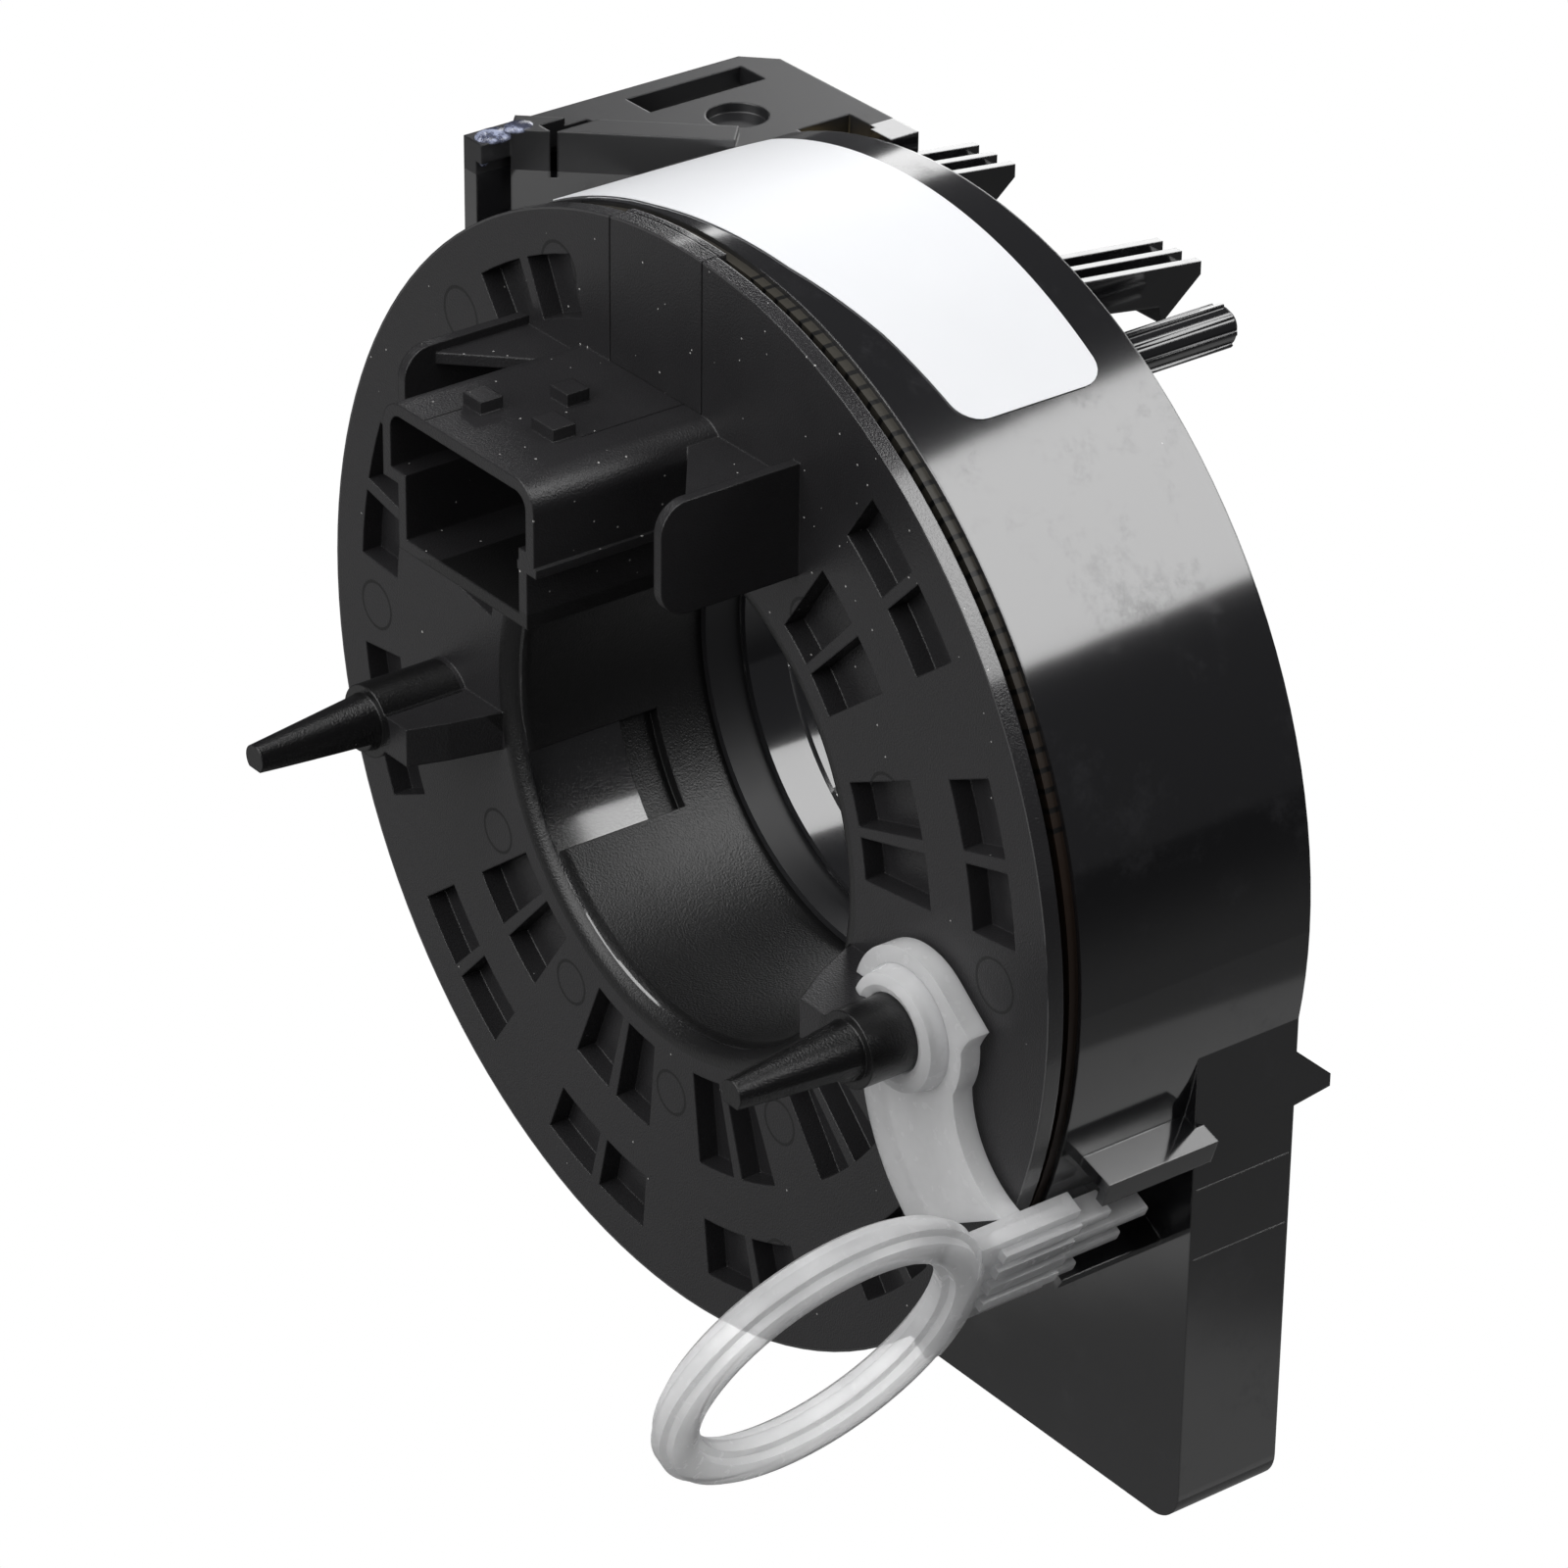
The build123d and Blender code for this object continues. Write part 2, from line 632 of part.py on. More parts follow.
os.makedirs("parts", exist_ok=True)
export("rotor_face", rotor_face())
export("rotor_sleeve", rotor_sleeve())
export("front_terminal_block", front_terminal_block())
export("front_terminal_pins", front_terminal_pins())
export("inner_cable_clamp", inner_cable_clamp())
export("locking_key", locking_key())
export("roller_cage", roller_cage())
for number, angle in enumerate(roller_centres(), start=1):
    export(f"roller_{number}", roller(angle))
export("flat_cable_1", flat_cable(0))
export("flat_cable_2", flat_cable(180))
export("outer_cable_clamp", outer_cable_clamp())
export("housing", housing())
export("rear_cover", rear_cover())
export("harness_terminal_block", harness_terminal_block())
export("harness_terminal_pins", harness_terminal_pins())
export("slide_ring", slide_ring())
export("brass_contact", brass_contact())
export("label", label())
export("glue_dab", glue_dab())
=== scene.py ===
import math

import bmesh
import bpy
from mathutils import Matrix, Vector


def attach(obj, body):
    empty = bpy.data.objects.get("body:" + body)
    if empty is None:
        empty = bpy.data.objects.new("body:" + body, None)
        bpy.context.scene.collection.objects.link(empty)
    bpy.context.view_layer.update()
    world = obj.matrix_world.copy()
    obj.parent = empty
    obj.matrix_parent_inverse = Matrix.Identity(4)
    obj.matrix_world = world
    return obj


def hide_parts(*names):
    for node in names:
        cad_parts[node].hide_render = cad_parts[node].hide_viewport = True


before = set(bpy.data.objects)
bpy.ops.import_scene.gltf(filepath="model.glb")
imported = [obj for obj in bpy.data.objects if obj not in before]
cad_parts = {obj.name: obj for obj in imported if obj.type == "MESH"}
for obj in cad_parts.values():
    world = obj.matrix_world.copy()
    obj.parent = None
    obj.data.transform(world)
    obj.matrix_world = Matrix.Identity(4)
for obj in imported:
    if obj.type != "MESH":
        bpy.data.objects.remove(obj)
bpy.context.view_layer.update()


# Rotor face: the black disc that turns with the wheel, with its plug shroud, guard wings, drive
# pins and bore tube moulded in one. It is satin nylon with a fine eroded grain, and it carries
# pale dust from the shelf, most of it on the upper half. Painted shade darkens its ejector grooves,
# its bore and its drive pins towards near black.
class Signal:
    """A shader socket that sums like a number."""

    def __init__(self, socket):
        self.socket = socket

    def node(self, kind, settings=None, inputs=None, output=0):
        """Another node of the same tree: its settings, then the values or links of its sockets."""
        made = self.socket.id_data.nodes.new(kind)
        for name, value in (settings or {}).items():
            setattr(made, name, value)
        for name, value in (inputs or {}).items():
            if isinstance(value, Signal):
                self.socket.id_data.links.new(value.socket, made.inputs[name])
            else:
                made.inputs[name].default_value = value
        return Signal(made.outputs[output])

    def maths(self, operation, other):
        return self.node("ShaderNodeMath", {"operation": operation}, {0: self, 1: other})

    def __add__(self, other):
        return self.maths("ADD", other)

    def __sub__(self, other):
        return self.maths("SUBTRACT", other)

    def __rsub__(self, other):
        return self.node("ShaderNodeMath", {"operation": "SUBTRACT"}, {0: other, 1: self})

    def __mul__(self, other):
        return self.maths("MULTIPLY", other)

    def __lt__(self, other):
        return self.maths("LESS_THAN", other)

    def __gt__(self, other):
        return self.maths("GREATER_THAN", other)

    __radd__ = __add__
    __rmul__ = __mul__

    def or_else(self, other):
        """The larger of two masks."""
        return self.maths("MAXIMUM", other)

    def close_to(self, value, within):
        return self.node("ShaderNodeMath", {"operation": "COMPARE"}, {0: self, 1: value, 2: within})

    def axis(self, name):
        return self.node("ShaderNodeSeparateXYZ", None, {0: self}, name)

    def scaled(self, x, y, z):
        return self.node("ShaderNodeVectorMath", {"operation": "MULTIPLY"}, {0: self, 1: (x, y, z)})

    def reach(self, point=(0, 0, 0)):
        """Distance from a point."""
        return self.node("ShaderNodeVectorMath", {"operation": "DISTANCE"}, {0: self, 1: point}, "Value")

    def ramp(self, low, high):
        """Rises softly from 0 to 1 between two values."""
        return self.node("ShaderNodeMapRange", {"interpolation_type": "SMOOTHSTEP"},
                         {"Value": self, "From Min": low, "From Max": high})

    def mix(self, base, top):
        """One colour where this mask is 0 and the other where it is 1."""
        return self.node("ShaderNodeMix", {"data_type": "RGBA"}, {"Factor": self, "A": base, "B": top}, 2)

    def noise(self, scale, detail=2.0, roughness=0.5):
        return self.node("ShaderNodeTexNoise", None,
                         {"Vector": self, "Scale": scale, "Detail": detail, "Roughness": roughness})

    def specks(self, spacing, share, radius):
        """Small round dots, one in each cell whose random tint falls within the share."""
        cell = {"Vector": self, "Scale": 1 / spacing}
        near = self.node("ShaderNodeTexVoronoi", None, cell)
        tint = self.node("ShaderNodeTexVoronoi", None, cell, "Color")
        chance = self.node("ShaderNodeSeparateColor", None, {0: tint})
        return (near < radius / spacing) * (chance < share)

    def rounded(self, radius):
        """The surface's direction with its edges softened, so that they catch the light."""
        return self.node("ShaderNodeBevel", {"samples": 6}, {"Radius": radius})

    def bump(self, strength, distance, over=None, sunk=False):
        """Relief of this height on the surface, or over a direction that is already changed."""
        inputs = {"Height": self, "Strength": strength, "Distance": distance}
        if over:
            inputs["Normal"] = over
        return self.node("ShaderNodeBump", {"invert": sunk}, inputs)


def finish(name, shell):
    """A material with its surface shader, and the piece's own coordinates to build its look from."""
    material = bpy.data.materials.new(name)
    material.use_nodes = True
    surface = next(n for n in material.node_tree.nodes if n.type == "BSDF_PRINCIPLED")
    for socket, value in shell.items():
        surface.inputs[socket].default_value = value
    place = Signal(material.node_tree.nodes.new("ShaderNodeTexCoord").outputs["Object"])
    return material, surface, place


def feed(node, socket, signal):
    node.id_data.links.new(signal.socket, node.inputs[socket])


def clad(node, material):
    """Gives a CAD node its finish."""
    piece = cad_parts[node]
    piece.data.materials.clear()
    piece.data.materials.append(material)


rim_edge = 0.0498
bore_edge = 0.02512
dust_edge = 0.0252
recess_edge = 0.02325
recess_front = 0.0009
recess_back = 0.0112
drive_pins = ((0.0353, 0, -0.0054), (-0.0330, 0, -0.0054))
pin_mark = 0.0037
pin_foot = -0.0005
ejector_rings = ((-0.0158, 0.0418, 0.0024), (-0.0301, 0.0323, 0.0024), (-0.0438, -0.0012, 0.0022),
                 (0.0181, 0.0233, 0.0020), (0.0290, 0.0120, 0.0021), (0.0269, 0.0346, 0.0024),
                 (-0.0255, -0.0158, 0.0020), (-0.0146, -0.0260, 0.0020), (0.0432, 0.0014, 0.0023),
                 (0.0001, -0.0300, 0.0020), (0.0154, -0.0253, 0.0020), (0.0159, -0.0393, 0.0022))
ring_half_width = 0.00014
rotor_shade = (0.0095, 0.0092, 0.0098, 1)
rotor_scuffed = (0.027, 0.0262, 0.028, 1)
dust_colour = (0.55, 0.54, 0.53, 1)
# Near black of the painted shade in the ejector grooves, the bore and the drive pins.
painted_shade_black = (0.004, 0.004, 0.004, 1)

rotor_satin, surface, place = finish("rotor_satin_black", {"Specular IOR Level": 0.6, "Coat IOR": 2.0,
                                                           "Coat Roughness": 0.10})
cloud = place.noise(45, 4, 0.6)
grain = place.noise(5200, 2, 0.6)
flat = place.scaled(1, 0, 1)
radius = flat.reach()
depth = place.axis("Y")
dusty = place.axis("Z").ramp(0.0, 0.045) * 0.40 + 0.04
dust = place.specks(0.0011, dusty, 0.00009)
motes = place.specks(0.0023, dusty * 0.4, 0.00012)
dirt = dust.or_else(motes) * (radius > dust_edge)
bore = radius < bore_edge
recess = bore * (radius > recess_edge) * (depth > recess_front) * (depth < recess_back)
polished = recess.or_else((radius > rim_edge) * 0.6)
pins = (flat.reach(drive_pins[0]) < pin_mark).or_else(flat.reach(drive_pins[1]) < pin_mark)
pins = pins * (depth < pin_foot)
rings = [flat.reach((x, 0, z)).close_to(size, ring_half_width) for x, z, size in ejector_rings]
groove = rings[0]
for ring in rings[1:]:
    groove = groove.or_else(ring)
groove = groove * (depth < 0.0006) * (depth > -0.0004)
dusted = (dirt * 0.8).mix(cloud.mix(rotor_shade, rotor_scuffed), dust_colour)
# Painted shade: the ejector grooves, the bore and the drive pins are darkened towards near black in the base
# colour.
painted_shade_mask = groove.or_else(pins).or_else(bore) * 0.8
feed(surface, "Base Color", painted_shade_mask.mix(dusted, painted_shade_black))
feed(surface, "Roughness", cloud * 0.20 + 0.25 - polished * 0.20 - pins * 0.08 + groove * 0.2)
feed(surface, "Coat Weight", polished)
skin = grain.bump(0.6, 0.00008, place.rounded(0.00022))
feed(surface, "Normal", groove.bump(1.0, 0.0005, skin, sunk=True))
for node in ("rotor_face", "front_terminal_block", "harness_terminal_block"):
    clad(node, rotor_satin)


# Slide insert above the plug shroud: the mould's slide left a strip of the face with a fine
# witness line on each side. It is flush with the face and of the same nylon.
def slice_off(shape, point, outward, drop=True):
    """Cuts a shape along a plane and drops what lies beyond it."""
    bmesh.ops.bisect_plane(shape, geom=shape.verts[:] + shape.edges[:] + shape.faces[:], dist=0.000001,
                           plane_co=point, plane_no=outward, clear_outer=drop)


def thicken(shape, along):
    """Gives a flat sheet its thickness."""
    grown = bmesh.ops.extrude_face_region(shape, geom=shape.faces[:])
    moved = [v for v in grown["geom"] if isinstance(v, bmesh.types.BMVert)]
    bmesh.ops.translate(shape, verts=moved, vec=along)


def model(name, shape, material, body, smooth=35):
    """Makes an object of a bmesh, smooth but for its sharp edges, and lets it ride on a body."""
    bmesh.ops.remove_doubles(shape, verts=shape.verts, dist=0.000002)
    bmesh.ops.recalc_face_normals(shape, faces=shape.faces)
    mesh = bpy.data.meshes.new(name)
    shape.to_mesh(mesh)
    shape.free()
    mesh.shade_smooth()
    mesh.set_sharp_from_angle(angle=math.radians(smooth))
    mesh.materials.append(material)
    made = bpy.data.objects.new(name, mesh)
    bpy.context.scene.collection.objects.link(made)
    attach(made, body)
    return made


insert_radius = 0.04998
insert_depth = 0.00165
insert_left = -0.00856
insert_right = 0.00386
insert_foot = 0.0362

shape = bmesh.new()
bmesh.ops.create_circle(shape, cap_ends=True, segments=360, radius=insert_radius)
bmesh.ops.rotate(shape, verts=shape.verts, matrix=Matrix.Rotation(math.pi / 2, 3, "X"))
slice_off(shape, (insert_left, 0, 0), (-1, 0, 0))
slice_off(shape, (insert_right, 0, 0), (1, 0, 0))
slice_off(shape, (0, 0, insert_foot), (0, 0, -1))
thicken(shape, (0, insert_depth, 0))
insert = model("slide_insert", shape, rotor_satin, "rotor")


# Parting lines on top of the plug shroud: thin raised flash where the mould halves met, one from
# the face forwards and a short one near the mouth.
def bar(shape, low, high, bevel=0.0):
    """A box from its lowest to its highest corner, with its edges rounded."""
    size = Vector(high) - Vector(low)
    middle = (Vector(high) + Vector(low)) / 2
    made = bmesh.ops.create_cube(shape, size=1)["verts"]
    bmesh.ops.scale(shape, verts=made, vec=size)
    bmesh.ops.translate(shape, verts=made, vec=middle)
    if bevel:
        edges = list({edge for v in made for edge in v.link_edges})
        bmesh.ops.bevel(shape, geom=edges, offset=bevel, segments=2, profile=0.5, affect="EDGES",
                        material=-1)


flash_width = 0.00012
flash_height = 0.00004
shroud_top = 0.0362
shroud_lines = ((0.0014, -0.0102, 0.0), (-0.0085, -0.0186, -0.0150))

shape = bmesh.new()
for x, front, back in shroud_lines:
    bar(shape, (x, front, shroud_top), (x + flash_width, back, shroud_top + flash_height))
flash = model("shroud_flash", shape, rotor_satin, "rotor")


# Terminals: square pins of the plug and of the harness socket, pressed through their blocks. They
# are tinned, so they are a dull silver with a faint mottle.
tinned, surface, place = finish("terminal_tin", {"Metallic": 1.0})
feed(surface, "Base Color", place.noise(900, 3).mix((0.62, 0.60, 0.55, 1), (0.80, 0.78, 0.74, 1)))
feed(surface, "Roughness", place.noise(1500, 2) * 0.2 + 0.22)
clad("front_terminal_pins", tinned)
clad("harness_terminal_pins", tinned)


# Housing and rear cover: polished black mouldings, clipped together. The wall mirrors the lamps
# with a slight wave and is smeared where it was held, and the bracket on top keeps a satin skin.
bracket_floor = 0.0425
bracket_side = -0.0175
housing_shade = (0.010, 0.010, 0.011, 1)
housing_smeared = (0.022, 0.022, 0.024, 1)
fleck_colour = (0.25, 0.25, 0.25, 1)

housing_gloss, surface, place = finish("housing_gloss_black", {"Specular IOR Level": 0.9, "Coat IOR": 1.7,
                                                               "Coat Roughness": 0.10})
wave = place.noise(60)
smear = place.noise(140, 6, 0.75).ramp(0.52, 0.72)
fleck = place.specks(0.0019, 0.05, 0.00007)
bracket = (place.axis("Z") > bracket_floor) * (place.axis("X") < bracket_side)
feed(surface, "Base Color", fleck.mix(smear.mix(housing_shade, housing_smeared), fleck_colour))
feed(surface, "Roughness", smear * 0.10 + 0.10 + bracket * 0.28)
feed(surface, "Coat Weight", (1.0 - smear * 0.35) * (1.0 - bracket))
feed(surface, "Normal", wave.bump(0.12, 0.0004, place.rounded(0.00025)))
clad("housing", housing_gloss)
clad("rear_cover", housing_gloss)


# Flutes of the locating pin behind the cover: crush ribs moulded along it in the same plastic,
# which centre the unit in its seat.
def join(shape, extra):
    """Adds a separate bmesh to a shape and frees it."""
    mesh = bpy.data.meshes.new("extra")
    extra.to_mesh(mesh)
    extra.free()
    shape.from_mesh(mesh)
    bpy.data.meshes.remove(mesh)


flute_count = 8
flute_width = 0.00042
flute_height = 0.00026
flute_root = 0.0002
flute_front, flute_back = 0.0280, 0.0394
locating_pin = Vector((0.0223, 0, 0.0403))
locating_radius = 0.00172

shape = bmesh.new()
for number in range(flute_count):
    flute = bmesh.new()
    bar(flute, (locating_radius - flute_root, flute_front, -flute_width / 2),
        (locating_radius + flute_height, flute_back, flute_width / 2), 0.00008)
    spun = Matrix.Rotation(math.tau * number / flute_count, 4, "Y")
    bmesh.ops.transform(flute, verts=flute.verts, matrix=Matrix.Translation(locating_pin) @ spun)
    join(shape, flute)
flutes = model("pin_flutes", shape, housing_gloss, "housing")


# Parting lines of the foot: two thin lines of flash across its outer side, of the housing's
# plastic, left where inserts of the mould met.
foot_side = 0.0490
foot_front, foot_back = 0.0172, 0.0272
foot_heights = (-0.0283, -0.0215)

shape = bmesh.new()
for z in foot_heights:
    bar(shape, (foot_side, foot_front, z), (foot_side + flash_height, foot_back, z + flash_width))
foot_line = model("foot_flash", shape, housing_gloss, "housing")


# Rear sleeve: black acetal ring that holds the rotor from behind. It is satin as moulded, but for
# its last step, which is polished and catches the light from behind.
last_step = 0.0239

sleeve_acetal, surface, place = finish("sleeve_black_acetal", {"Coat IOR": 1.9, "Coat Roughness": 0.08})
rear_step = place.axis("Y") > last_step
feed(surface, "Base Color", place.noise(80, 3).mix((0.010, 0.010, 0.011, 1), (0.018, 0.018, 0.020, 1)))
feed(surface, "Roughness", place.noise(200, 3) * 0.10 + 0.40 - rear_step * 0.28)
feed(surface, "Coat Weight", rear_step)
clad("rotor_sleeve", sleeve_acetal)


# Roller cage, rollers and cable clamps: white acetal mouldings behind the rotor, with a faint
# mottle. The rollers turn on the cage's axles, and the clamps hold the ends of the cables.
white_acetal, surface, place = finish("roller_white_acetal", {})
feed(surface, "Base Color", place.noise(120, 3).mix((0.68, 0.68, 0.66, 1), (0.78, 0.78, 0.76, 1)))
feed(surface, "Roughness", place.noise(300, 2) * 0.1 + 0.35)
for node in ("roller_cage", "roller_1", "roller_2", "roller_3", "roller_4", "inner_cable_clamp",
             "outer_cable_clamp"):
    clad(node, white_acetal)


# Flat cables: amber film with copper tracks laminated in it, wound in the space behind the rotor
# and held by the clamps.
track_pitch = 0.0018

film, surface, place = finish("cable_amber_film", {})
track = place.axis("Y").maths("PINGPONG", track_pitch / 2).ramp(0.0003, 0.0005)
feed(surface, "Base Color", track.mix((0.62, 0.36, 0.10, 1), (0.75, 0.40, 0.18, 1)))
feed(surface, "Roughness", place.noise(400, 2) * 0.1 + 0.2)
clad("flat_cable_1", film)
clad("flat_cable_2", film)


# Slide ring: thin strip in the gap behind the rotor, olive grey above and brown below, with a row
# of small holes punched along it, painted as near-black dots of shade.
hole_pitch = math.radians(1.9)
holes_from, holes_to = math.radians(18), math.radians(82)

strip, surface, place = finish("slide_ring_film", {"Specular IOR Level": 0.4})
around = place.axis("Z").maths("ARCTAN2", place.axis("X"))
beat = around.maths("PINGPONG", hole_pitch / 2)
# Painted shade: the holes are near-black dots in the base colour, standing for the shade seen through them.
painted_hole_shade = (beat < hole_pitch * 0.13) * (around > holes_from) * (around < holes_to)
film_shade = place.axis("Z").ramp(0.01, 0.04).mix((0.030, 0.018, 0.012, 1), (0.046, 0.042, 0.034, 1))
feed(surface, "Base Color", painted_hole_shade.mix(film_shade, (0.006, 0.006, 0.006, 1)))
feed(surface, "Roughness", place.noise(300, 2) * 0.2 + 0.35)
clad("slide_ring", strip)


# Contact spring under the bracket's far window: bare brass with a faint mottle, fixed to the
# housing.
brass, surface, place = finish("contact_brass", {"Metallic": 1.0})
feed(surface, "Base Color", place.noise(500, 3).mix((0.70, 0.50, 0.20, 1), (0.85, 0.68, 0.36, 1)))
feed(surface, "Roughness", place.noise(700, 2) * 0.15 + 0.2)
clad("brass_contact", brass)


# Label: blank white paper stuck round the wall, with its lower corners rounded, left bare of any
# print. It is drawn flat, as degrees round the wall and millimetres back, and then bent.
label_radius = 0.04979
label_thickness = 0.00009
label_corner = 0.0022
label_outline = ((57.1, 8.9), (57.1, 23.2), (112.0, 24.2), (114.5, 21.0), (116.0, 12.0), (117.5, 4.6),
                 (100.0, 4.5), (81.0, 5.8), (69.0, 7.7))

paper, surface, place = finish("label_white_paper", {"Specular IOR Level": 0.5})
fibre = place.noise(2500, 3, 0.6)
feed(surface, "Base Color", place.noise(90, 2).mix((0.80, 0.81, 0.83, 1), (0.85, 0.86, 0.88, 1)))
feed(surface, "Roughness", fibre * 0.1 + 0.3)
feed(surface, "Normal", fibre.bump(0.05, 0.00005))
shape = bmesh.new()
corners = [shape.verts.new((math.radians(angle) * label_radius, y / 1000, 0)) for angle, y in label_outline]
shape.faces.new(corners)
bmesh.ops.bevel(shape, geom=corners[:2], offset=label_corner, segments=6, profile=0.5,
                affect="VERTICES", material=-1)
for step in range(58, 121):
    slice_off(shape, (math.radians(step) * label_radius, 0, 0), (1, 0, 0), drop=False)
thicken(shape, (0, 0, label_thickness))
for v in shape.verts:
    bend = v.co.x / label_radius
    v.co = ((label_radius + v.co.z) * math.cos(bend), v.co.y, (label_radius + v.co.z) * math.sin(bend))
label = model("blank_label", shape, paper, "housing", 50)
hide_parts("label")


# Glue: clear bluish dabs laid by hand, one spread over the bracket's front corner and run down its
# inner side, and one on the sleeve's lip where it meets the bore tube.
def dab(shape, place, radii, turn=0.0):
    """A flattened drop of glue, turned about the steering axis."""
    drop = bmesh.ops.create_icosphere(shape, subdivisions=3, radius=1.0)["verts"]
    bmesh.ops.scale(shape, verts=drop, vec=radii)
    bmesh.ops.translate(shape, verts=drop, vec=place)
    bmesh.ops.rotate(shape, verts=drop, matrix=Matrix.Rotation(math.radians(turn), 3, "Y"))


glue, surface, place = finish("glue_clear_blue", {"IOR": 1.45, "Coat Weight": 1.0})
patchy = place.noise(700, 4, 0.7).ramp(0.40, 0.62)
feed(surface, "Base Color", patchy.mix((0.07, 0.08, 0.15, 1), (0.42, 0.46, 0.62, 1)))
feed(surface, "Roughness", place.noise(900, 2) * 0.2 + 0.08)
feed(surface, "Alpha", patchy * 0.5 + 0.45)
feed(surface, "Normal", place.noise(1100, 3).bump(0.5, 0.0003))

shape = bmesh.new()
dab(shape, (-0.0344, 0.0066, 0.0455), (0.0014, 0.0018, 0.0005))
dab(shape, (-0.0336, 0.0086, 0.0461), (0.0011, 0.0014, 0.0004))
dab(shape, (-0.0342, 0.0054, 0.0446), (0.0005, 0.0007, 0.0016))
smear = model("bracket_glue", shape, glue, "housing", 60)
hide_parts("glue_dab")

shape = bmesh.new()
dab(shape, (-0.0223, 0.0256, 0), (0.0007, 0.0014, 0.0026), -5)
dab(shape, (-0.0222, 0.0246, 0), (0.0005, 0.0008, 0.0012), 6)
drop = model("bore_glue", shape, glue, "rotor", 60)


# Locking key: milky see-through polypropylene that holds the rotor until it is pulled off. Its
# tail carries ribs that reach back towards the housing's lug, and a split collar grips the pin.
key_angle = math.radians(-24.9)
key_face = 0.0507
key_front = -0.00598
key_edge = 0.00018
outward = Vector((math.cos(key_angle), 0, math.sin(key_angle)))
downward = Vector((math.sin(key_angle), 0, -math.cos(key_angle)))

milky, surface, place = finish("key_milky_plastic", {"Subsurface Weight": 0.7, "Subsurface Scale": 0.002,
                                                     "Subsurface Radius": (1.0, 1.0, 1.0),
                                                     "Coat Weight": 0.5, "Coat Roughness": 0.12})
edge_on = place.node("ShaderNodeLayerWeight", None, {"Blend": 0.35}, "Facing")
feed(surface, "Base Color", place.noise(160, 3).mix((0.90, 0.91, 0.93, 1), (0.97, 0.97, 0.98, 1)))
feed(surface, "Roughness", place.noise(900, 3) * 0.15 + 0.18)
feed(surface, "Alpha", place.noise(110, 3).ramp(0.3, 0.7) * 0.12 + 0.33 + edge_on * 0.50)
feed(surface, "Normal", place.noise(420, 3).bump(0.18, 0.0002))

shape = bmesh.new()
shape.from_mesh(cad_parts["locking_key"].data)
bmesh.ops.remove_doubles(shape, verts=shape.verts, dist=0.000002)
slice_off(shape, (0, key_front, 0), (0, -1, 0))
bmesh.ops.holes_fill(shape, edges=[edge for edge in shape.edges if edge.is_boundary], sides=0)
bmesh.ops.dissolve_limit(shape, angle_limit=math.radians(1.5), verts=shape.verts, edges=shape.edges)
crisp = [edge for edge in shape.edges if len(edge.link_faces) == 2
         and edge.calc_face_angle(0) > math.radians(50)]
bmesh.ops.bevel(shape, geom=crisp, offset=key_edge, segments=2, profile=0.5, affect="EDGES",
                material=-1, clamp_overlap=True)

rib_half_width = 0.00055
rib_bottom, rib_top = 0.0002, 0.0026
rib_front = -0.0034
ribs = ((-0.0030, 0.0076), (-0.0008, 0.0123), (0.0014, 0.0102), (0.0036, 0.0064))
for down, back in ribs:
    rib = bmesh.new()
    bar(rib, (rib_bottom, rib_front, -rib_half_width), (rib_top, back, rib_half_width), 0.0002)
    bmesh.ops.translate(rib, verts=rib.verts, vec=(key_face, 0, -down))
    bmesh.ops.transform(rib, verts=rib.verts, matrix=Matrix.Rotation(-key_angle, 4, "Y"))
    join(shape, rib)

pin_x, pin_z = drive_pins[0][0], drive_pins[0][2]
collar_section = ((0.00350, -0.0024), (0.00350, -0.0041), (0.00420, -0.0044), (0.00510, -0.0041),
                  (0.00545, -0.0024))
collar_start, collar_sweep = math.radians(-158), math.radians(316)
collar = bmesh.new()
points = [collar.verts.new((pin_x + r * math.cos(collar_start), y, pin_z + r * math.sin(collar_start)))
          for r, y in collar_section]
bmesh.ops.spin(collar, geom=[collar.faces.new(points)] + points, cent=(pin_x, 0, pin_z),
               axis=(0, -1, 0), angle=collar_sweep, steps=48, use_duplicate=False)
bmesh.ops.recalc_face_normals(collar, faces=collar.faces)
join(shape, collar)
key = model("key_body", shape, milky, "key", 30)
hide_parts("locking_key")


# Pull ring of the key: moulded on in the same plastic, round in section with a flat ridge along
# its outside where the mould halves met.
ring_line = 0.0134
ring_out, ring_back, ring_down = 0.001, -0.0192, 0.003
ring_centre = outward * (key_face + ring_out) + Vector((0, ring_back, 0)) + downward * ring_down
ring_section = ((-0.0019, 0.0), (-0.0019, 0.0006), (-0.0013, 0.0008), (-0.0012, 0.0015), (-0.0006, 0.0019),
                (0.0006, 0.0019), (0.0012, 0.0015), (0.0013, 0.0008), (0.0019, 0.0006), (0.0019, -0.0006),
                (0.0013, -0.0008), (0.0012, -0.0015), (0.0006, -0.0019), (-0.0006, -0.0019),
                (-0.0012, -0.0015), (-0.0013, -0.0008), (-0.0019, -0.0006))

shape = bmesh.new()
points = [shape.verts.new(ring_centre + Vector((0, -ring_line - along, 0)) + outward * across)
          for along, across in ring_section]
edges = [shape.edges.new((points[i - 1], points[i])) for i in range(len(points))]
bmesh.ops.spin(shape, geom=points + edges, cent=ring_centre, axis=outward, angle=math.tau, steps=96,
               use_merge=True, use_duplicate=False)
pull_ring = model("pull_ring", shape, milky, "key", 38)


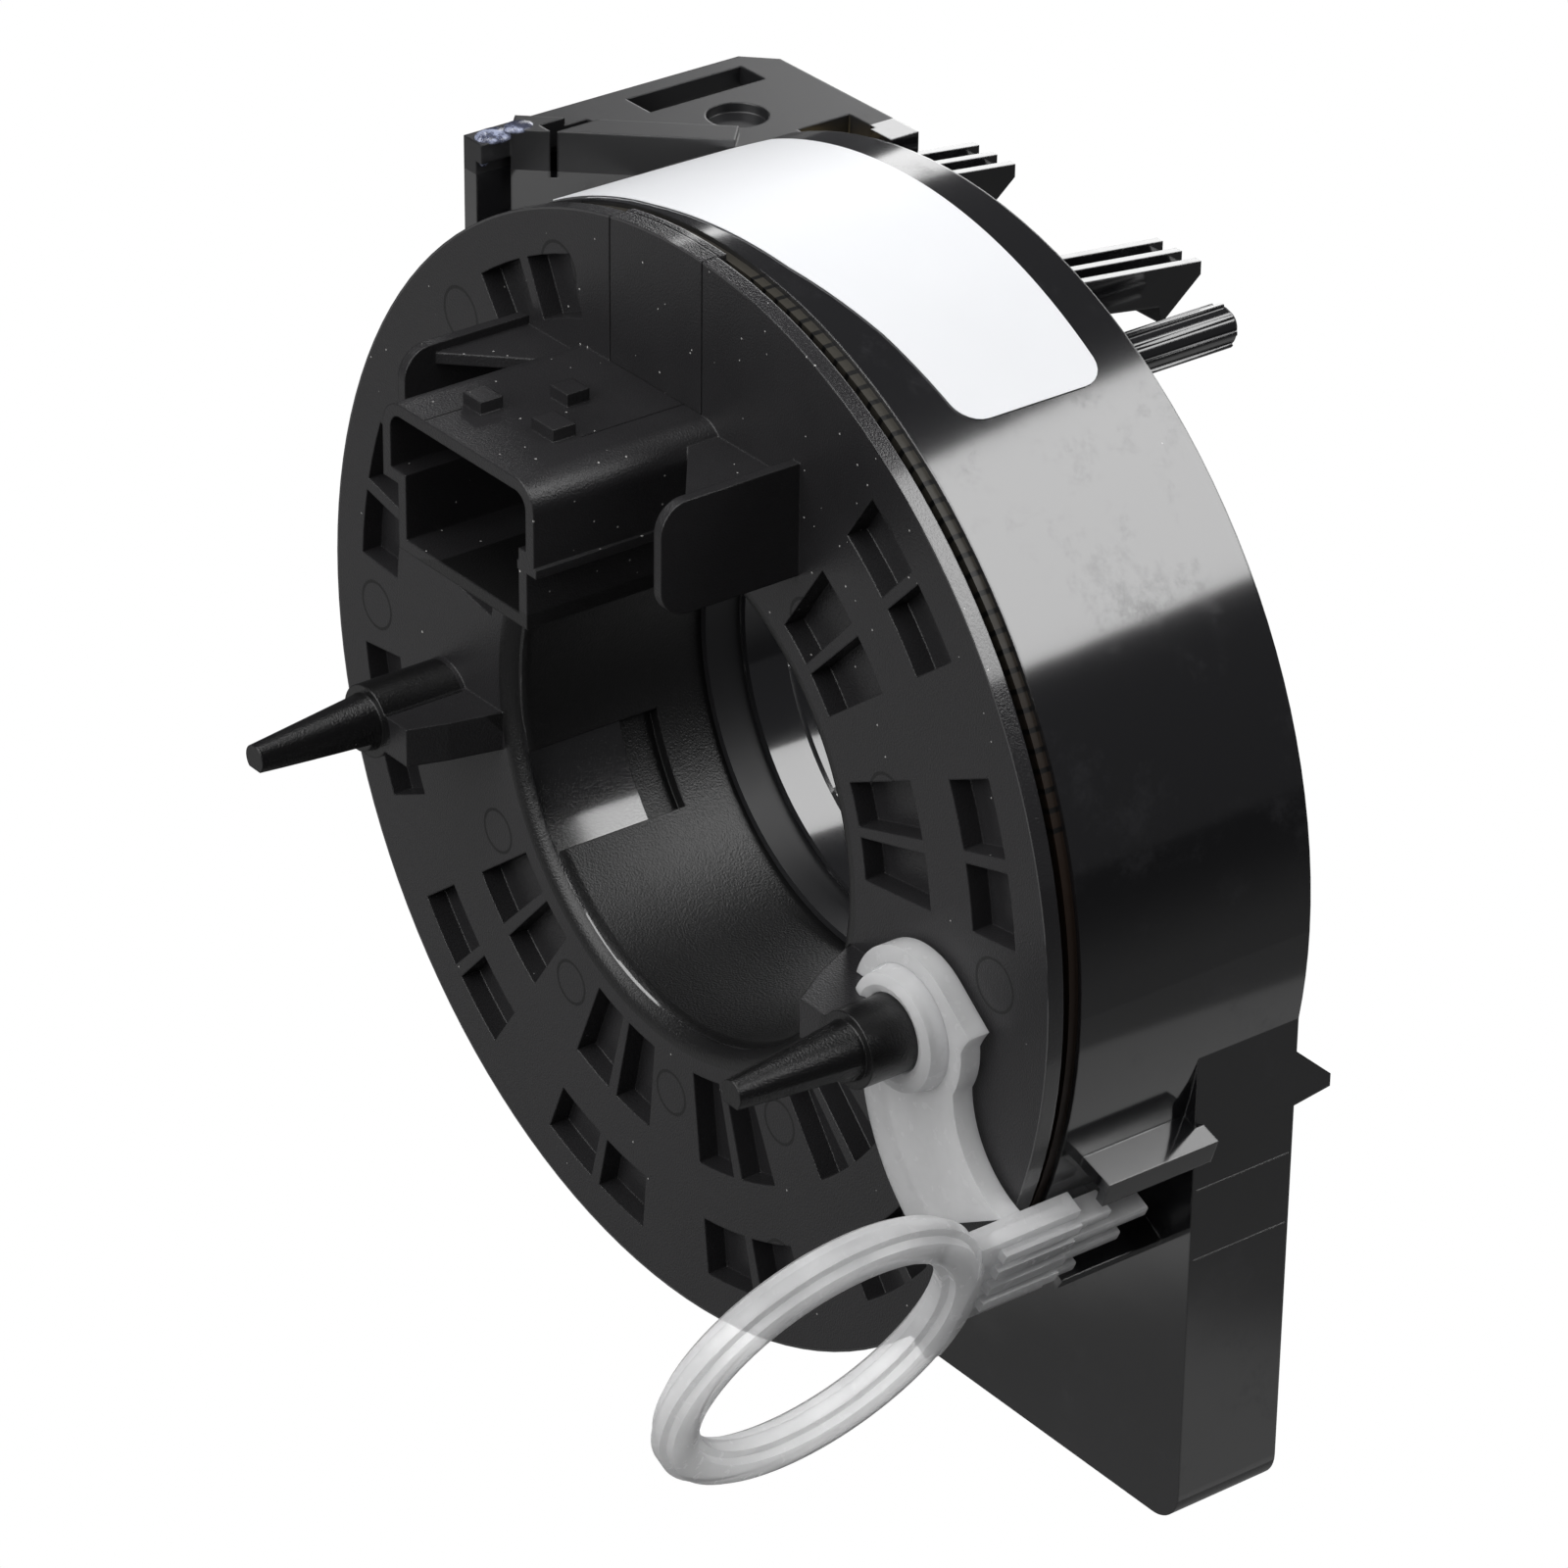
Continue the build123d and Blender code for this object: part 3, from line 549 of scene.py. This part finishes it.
# Studio lamps: the wall mirrors the large one high behind on the right. One overhead, one behind
# on the left and a broad one in front light the rest. The foot's outer side mirrors a weak card
# low on the right, and its front mirrors another low on the left.
def lamp(name, azimuth, elevation, distance, width, depth, radiance):
    """A soft lamp that faces the part, placed by degrees round it and above it."""
    a, e = math.radians(azimuth), math.radians(elevation)
    back = Vector((math.sin(a) * math.cos(e), -math.cos(a) * math.cos(e), math.sin(e)))
    light = bpy.data.lights.new(name, "AREA")
    light.shape = "RECTANGLE"
    light.size, light.size_y = width, depth
    light.energy = radiance * math.pi * width * depth
    bulb = bpy.data.objects.new(name, light)
    bulb.location = back * distance
    bulb.visible_camera = False
    bulb.rotation_mode = "QUATERNION"
    bulb.rotation_quaternion = back.to_track_quat("Z", "Y")
    bpy.context.scene.collection.objects.link(bulb)


lamp("lamp_behind", 147, 42, 1.0, 0.80, 0.47, 3.5)
lamp("lamp_above", -20, 78, 0.55, 0.5, 0.4, 3.0)
lamp("lamp_rear", 212, 14, 1.1, 0.8, 0.6, 2.4)
lamp("lamp_front", 4, 30, 1.1, 1.0, 0.8, 3.4)
lamp("card_low", 140, -41, 0.5, 0.34, 0.12, 0.16)
lamp("card_left", -53, -22, 0.6, 0.5, 0.34, 0.25)


# Surroundings: the camera sees them white, also through the clear key, while the part is lit by a
# dim even grey.
def in_view(signal):
    """1 for what the camera sees directly or through clear plastic, and 0 for light that bounces."""
    direct = signal.node("ShaderNodeLightPath", output="Is Camera Ray")
    return direct.or_else(signal.node("ShaderNodeLightPath", output="Is Transmission Ray"))


world = bpy.data.worlds.new("studio")
bpy.context.scene.world = world
world.use_nodes = True
surround = world.node_tree.nodes["Background"]
seen = in_view(Signal(surround.outputs[0]))
feed(surround, "Color", seen.mix((0.055, 0.055, 0.058, 1), (1, 1, 1, 1)))


# Floor: a plain matt sheet well below the part, white to the camera and grey to the light that
# bounces off it.
floor_height = -0.40

shape = bmesh.new()
bmesh.ops.create_grid(shape, x_segments=1, y_segments=1, size=3.0)
bmesh.ops.translate(shape, verts=shape.verts, vec=(0, 0, floor_height))
mesh = bpy.data.meshes.new("floor")
shape.to_mesh(mesh)
shape.free()
floor = bpy.data.objects.new("floor", mesh)
bpy.context.scene.collection.objects.link(floor)
sweep, surface, place = finish("floor_pale", {"Base Color": (0.16, 0.16, 0.16, 1), "Roughness": 0.9})
glow = place.node("ShaderNodeEmission")
either = place.node("ShaderNodeMixShader", None, {0: in_view(place), 1: Signal(surface.outputs[0]), 2: glow})
feed(sweep.node_tree.nodes["Material Output"], "Surface", either)
floor.data.materials.append(sweep)


# Camera: fitted to the photograph with the rotor's rim, the rim of its bore and the steering axis.
camera = bpy.data.cameras.new("camera")
camera.lens, camera.sensor_width = 156.205, 36.0
camera.clip_start, camera.clip_end = 0.05, 20.0
eye = bpy.data.objects.new("camera", camera)
eye.location = (0.40095081, -0.29670760, 0.27704314)
eye.rotation_mode = "QUATERNION"
eye.rotation_quaternion = (0.77086982, 0.45657876, 0.22141467, 0.38505986)
bpy.context.scene.collection.objects.link(eye)
bpy.context.scene.camera = eye
bpy.context.scene.view_settings.view_transform = "Standard"
